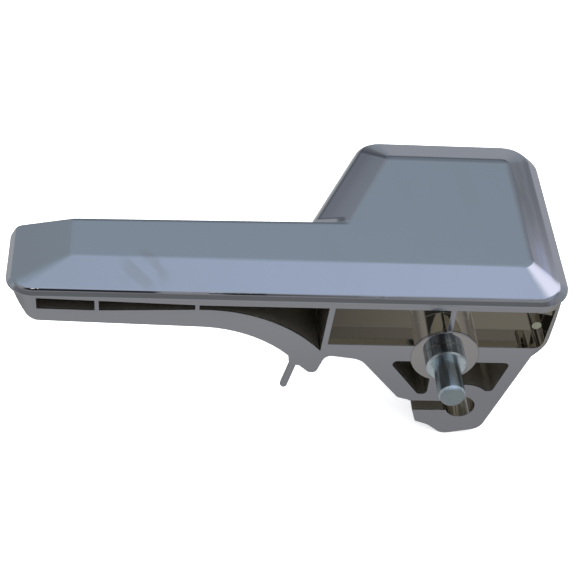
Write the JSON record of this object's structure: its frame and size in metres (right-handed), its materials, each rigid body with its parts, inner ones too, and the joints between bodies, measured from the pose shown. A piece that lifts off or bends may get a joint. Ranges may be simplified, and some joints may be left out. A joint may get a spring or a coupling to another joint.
{
  "type": "car interior door handle",
  "caption": "Chrome-plated lever of a car's inside door handle, with a faceted face, a cored and ribbed side, a finger arch, a cable eye and a turned pivot pin.",
  "frame": {"origin": "on the pivot axis, at the outer face of the pin's shoulder", "axes": "+X along the lever from the grip towards the head, +Y along the pivot into the lever, +Z out of the plated face"},
  "size_m": [0.1379, 0.0762, 0.051],
  "materials": {
    "plated_plastic": "bright chrome plate on moulded ABS",
    "zinc_steel": "turned steel with clear zinc plate"
  },
  "bodies": {
    "root": {"lever": "plated_plastic", "pivot_pin": "zinc_steel"}
  },
  "joints": []
}
